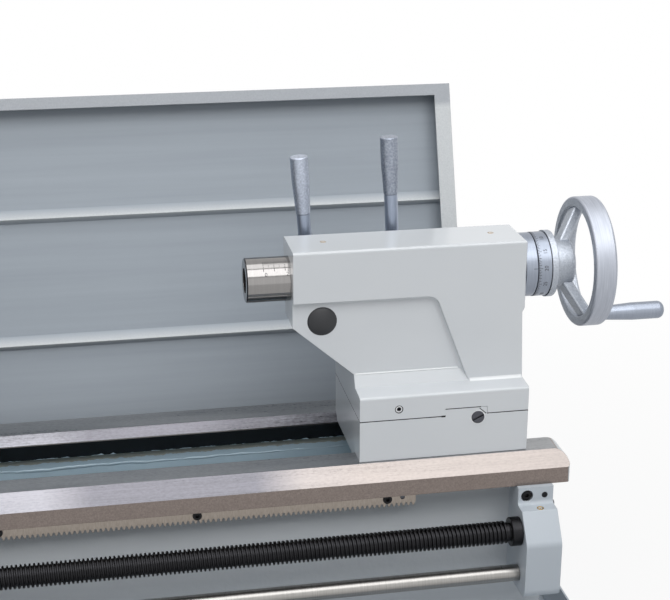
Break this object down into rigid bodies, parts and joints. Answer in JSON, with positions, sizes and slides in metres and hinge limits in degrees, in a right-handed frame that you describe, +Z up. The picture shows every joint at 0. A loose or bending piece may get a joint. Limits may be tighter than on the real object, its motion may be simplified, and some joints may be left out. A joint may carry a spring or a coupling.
{
  "type": "universal metal lathe",
  "caption": "Bench metal lathe: bed with ground ways, geared headstock with jaw chuck, carriage with slides and tool post, and a tailstock with quill, dial and handwheel.",
  "frame": {"origin": "on the bench under the tray, straight below the face of the spindle nose", "axes": "+X along the bed from the headstock to the tailstock, +Y to the back, +Z up"},
  "size_m": [1.5355, 0.5158, 0.5727],
  "materials": {
    "casting_paint": "light grey paint over cast iron",
    "bed_paint": "glossy blue-grey paint over cast iron, ways ground bright",
    "sheet_paint": "painted steel sheet",
    "guard_paint": "grey powder coat on folded sheet",
    "motor_paint": "grey enamel on cast aluminium",
    "ground_steel": "ground steel",
    "polished_steel": "polished steel",
    "cast_iron": "scraped and oiled cast iron",
    "satin_aluminium": "satin turned aluminium",
    "black_oxide": "black oxide",
    "belt_rubber": "moulded rubber",
    "black_plastic": "moulded, matt",
    "green_plastic": "moulded, glossy",
    "red_plastic": "moulded, glossy"
  },
  "bodies": {
    "bed": {"bed": "bed_paint", "chip_tray": "sheet_paint", "splash_guard": "guard_paint", "rack": "ground_steel", "bed_screws": "black_oxide", "leadscrew_bracket": "bed_paint", "headstock": "casting_paint", "headstock_cover": "casting_paint", "spindle_bearings": "ground_steel", "feed_gearbox": "casting_paint", "drive_motor": "motor_paint", "motor_plate": "sheet_paint", "drive_belt": "belt_rubber", "gear_arm": "cast_iron"},
    "end_cover": {"end_cover": "casting_paint"},
    "spindle": {"spindle": "ground_steel", "spindle_pulley": "cast_iron", "spindle_gear": "ground_steel", "chuck_body": "ground_steel"},
    "chuck_scroll": {"chuck_scroll": "ground_steel"},
    "chuck_jaw_1": {"chuck_jaw_1": "ground_steel"},
    "chuck_jaw_2": {"chuck_jaw_2": "ground_steel"},
    "chuck_jaw_3": {"chuck_jaw_3": "ground_steel"},
    "idler": {"idler_gear": "cast_iron"},
    "leadscrew": {"leadscrew": "ground_steel", "leadscrew_gear": "ground_steel"},
    "motor_rotor": {"motor_pulley": "cast_iron"},
    "feed_rod": {"feed_rod": "ground_steel"},
    "speed_lever": {"speed_lever": "satin_aluminium"},
    "feed_knob": {"feed_knob": "black_plastic"},
    "start_button": {"start_button": "green_plastic"},
    "stop_button": {"stop_button": "red_plastic"},
    "carriage": {"saddle": "cast_iron", "apron": "casting_paint"},
    "rack_pinion": {"rack_pinion": "ground_steel"},
    "carriage_handwheel": {"carriage_handwheel": "satin_aluminium"},
    "half_nut_lever": {"half_nut_lever": "satin_aluminium"},
    "cross_slide": {"cross_slide": "cast_iron"},
    "cross_handwheel": {"cross_handwheel": "satin_aluminium"},
    "swivel": {"swivel_base": "cast_iron"},
    "top_slide": {"top_slide": "cast_iron"},
    "top_slide_crank": {"top_slide_crank": "satin_aluminium"},
    "tool_post": {"tool_post": "black_oxide"},
    "tool_post_lever": {"tool_post_lever": "satin_aluminium"},
    "tailstock": {"tailstock_base": "casting_paint", "tailstock_body": "casting_paint", "bore_plug": "black_plastic", "tailstock_screws": "black_oxide", "screw_bearing_ring": "satin_aluminium", "clamp_plate": "cast_iron", "clamp_bolt": "black_oxide"},
    "quill": {"quill": "polished_steel"},
    "tail_wheel": {"feed_screw": "ground_steel", "graduated_dial": "satin_aluminium", "tailstock_handwheel": "satin_aluminium"},
    "wheel_handle": {"handwheel_handle": "satin_aluminium"},
    "quill_lock": {"quill_lock_lever": "polished_steel", "quill_lock_grip": "satin_aluminium"},
    "bed_lock": {"bed_lock_lever": "polished_steel", "bed_lock_grip": "satin_aluminium"}
  },
  "joints": [
    {"name": "end_cover_swing", "type": "hinge", "parent": "bed", "child": "end_cover", "pos_m": [-0.324, 0.247, 0.38], "axis": [0, 0, -1], "range_deg": [0, 110]},
    {"name": "spindle_spin", "type": "hinge", "parent": "bed", "child": "spindle", "pos_m": [0, 0, 0.44], "axis": [1, 0, 0], "continuous": true},
    {"name": "idler_spin", "type": "hinge", "parent": "bed", "child": "idler", "pos_m": [-0.3995, -0.01597, 0.31099], "axis": [1, 0, 0], "continuous": true},
    {"name": "leadscrew_spin", "type": "hinge", "parent": "bed", "child": "leadscrew", "pos_m": [0.4, -0.082, 0.199], "axis": [1, 0, 0], "continuous": true},
    {"name": "motor_spin", "type": "hinge", "parent": "bed", "child": "motor_rotor", "pos_m": [-0.363, 0.178, 0.19], "axis": [1, 0, 0], "continuous": true},
    {"name": "feed_rod_spin", "type": "hinge", "parent": "bed", "child": "feed_rod", "pos_m": [0.4, -0.082, 0.154], "axis": [1, 0, 0], "continuous": true},
    {"name": "scroll_turn", "type": "hinge", "parent": "spindle", "child": "chuck_scroll", "pos_m": [0.025, 0, 0.44], "axis": [1, 0, 0], "range_deg": [-675, 360]},
    {"name": "jaw_1_slide", "type": "slide", "parent": "spindle", "child": "chuck_jaw_1", "axis": [0, 0, 1], "range_m": [-0.015, 0.008]},
    {"name": "jaw_2_slide", "type": "slide", "parent": "spindle", "child": "chuck_jaw_2", "axis": [0, -0.866, -0.5], "range_m": [-0.015, 0.008]},
    {"name": "jaw_3_slide", "type": "slide", "parent": "spindle", "child": "chuck_jaw_3", "axis": [0, 0.866, -0.5], "range_m": [-0.015, 0.008]},
    {"name": "speed_lever_swing", "type": "hinge", "parent": "bed", "child": "speed_lever", "pos_m": [-0.22, -0.12, 0.502], "axis": [0, 1, 0], "range_deg": [-45, 45]},
    {"name": "feed_knob_turn", "type": "hinge", "parent": "bed", "child": "feed_knob", "pos_m": [-0.22, -0.175, 0.225], "axis": [0, 1, 0], "range_deg": [-120, 120]},
    {"name": "start_button_press", "type": "slide", "parent": "bed", "child": "start_button", "axis": [0, 1, 0], "range_m": [0, 0.004], "stiffness_N_per_m": 800},
    {"name": "stop_button_press", "type": "slide", "parent": "bed", "child": "stop_button", "axis": [0, 1, 0], "range_m": [0, 0.004], "stiffness_N_per_m": 800},
    {"name": "carriage_slide", "type": "slide", "parent": "bed", "child": "carriage", "axis": [1, 0, 0], "range_m": [-0.09, 0.1]},
    {"name": "rack_pinion_spin", "type": "hinge", "parent": "carriage", "child": "rack_pinion", "pos_m": [0.25895, -0.053, 0.2164], "axis": [0, 1, 0], "range_deg": [-546.7, 492.1]},
    {"name": "carriage_wheel_turn", "type": "hinge", "parent": "carriage", "child": "carriage_handwheel", "pos_m": [0.25, -0.16, 0.165], "axis": [0, 1, 0], "range_deg": [-1474.3, 1638]},
    {"name": "half_nut_swing", "type": "hinge", "parent": "carriage", "child": "half_nut_lever", "pos_m": [0.355, -0.155, 0.185], "axis": [0, 1, 0], "range_deg": [-20, 40]},
    {"name": "cross_slide_move", "type": "slide", "parent": "carriage", "child": "cross_slide", "axis": [0, 1, 0], "range_m": [-0.03, 0.045]},
    {"name": "cross_wheel_turn", "type": "hinge", "parent": "carriage", "child": "cross_handwheel", "pos_m": [0.3, -0.17, 0.286], "axis": [0, 1, 0], "range_deg": [-2701, 4051]},
    {"name": "swivel_turn", "type": "hinge", "parent": "cross_slide", "child": "swivel", "pos_m": [0.3, -0.062, 0.343], "axis": [0, 0, 1], "range_deg": [-30, 30]},
    {"name": "top_slide_move", "type": "slide", "parent": "swivel", "child": "top_slide", "axis": [-0.5, 0.866, 0], "range_m": [-0.025, 0.025]},
    {"name": "top_crank_turn", "type": "hinge", "parent": "top_slide", "child": "top_slide_crank", "pos_m": [0.3375, -0.127, 0.37], "axis": [-0.5, 0.866, 0], "range_deg": [-3001, 3001]},
    {"name": "tool_post_turn", "type": "hinge", "parent": "top_slide", "child": "tool_post", "pos_m": [0.3, -0.062, 0.41], "axis": [0, 0, 1], "range_deg": [-90, 90]},
    {"name": "tool_post_lever_turn", "type": "hinge", "parent": "top_slide", "child": "tool_post_lever", "pos_m": [0.3, -0.062, 0.455], "axis": [0, 0, 1], "range_deg": [-45, 45]},
    {"name": "tailstock_slide", "type": "slide", "parent": "bed", "child": "tailstock", "axis": [1, 0, 0], "range_m": [-0.125, 0.025]},
    {"name": "handwheel_turn", "type": "hinge", "parent": "tailstock", "child": "tail_wheel", "pos_m": [0.98, 0, 0.44], "axis": [-1, 0, 0], "range_deg": [-4140, 7320]},
    {"name": "quill_move", "type": "slide", "parent": "tailstock", "child": "quill", "axis": [-1, 0, 0], "range_m": [-0.035, 0.0615]},
    {"name": "handle_spin", "type": "hinge", "parent": "tail_wheel", "child": "wheel_handle", "pos_m": [1.07, -0.02008, 0.39269], "axis": [1, 0, 0], "continuous": true},
    {"name": "quill_lock_swing", "type": "hinge", "parent": "tailstock", "child": "quill_lock", "pos_m": [0.7647, 0.046, 0.4033], "axis": [0, 1, 0], "range_deg": [-35, 5]},
    {"name": "bed_lock_swing", "type": "hinge", "parent": "tailstock", "child": "bed_lock", "pos_m": [0.85, 0.046, 0.368], "axis": [0, 1, 0], "range_deg": [-5, 35]}
  ],
  "couplings": [
    {"joint": "idler_spin", "follows": "spindle_spin", "ratio": -0.44444},
    {"joint": "leadscrew_spin", "follows": "spindle_spin", "ratio": 1},
    {"joint": "motor_spin", "follows": "spindle_spin", "ratio": 1.6667},
    {"joint": "feed_rod_spin", "follows": "spindle_spin", "ratio": 0.5},
    {"joint": "jaw_1_slide", "follows": "scroll_turn", "m_per_rad": 0.0012732},
    {"joint": "jaw_2_slide", "follows": "scroll_turn", "m_per_rad": 0.0012732},
    {"joint": "jaw_3_slide", "follows": "scroll_turn", "m_per_rad": 0.0012732},
    {"joint": "rack_pinion_spin", "follows": "carriage_slide", "rad_per_m": -95.238},
    {"joint": "carriage_wheel_turn", "follows": "carriage_slide", "rad_per_m": 285.71},
    {"joint": "cross_wheel_turn", "follows": "cross_slide_move", "rad_per_m": 1570.8},
    {"joint": "top_crank_turn", "follows": "top_slide_move", "rad_per_m": 2094.4},
    {"joint": "quill_move", "follows": "handwheel_turn", "m_per_rad": 0.00047746}
  ]
}
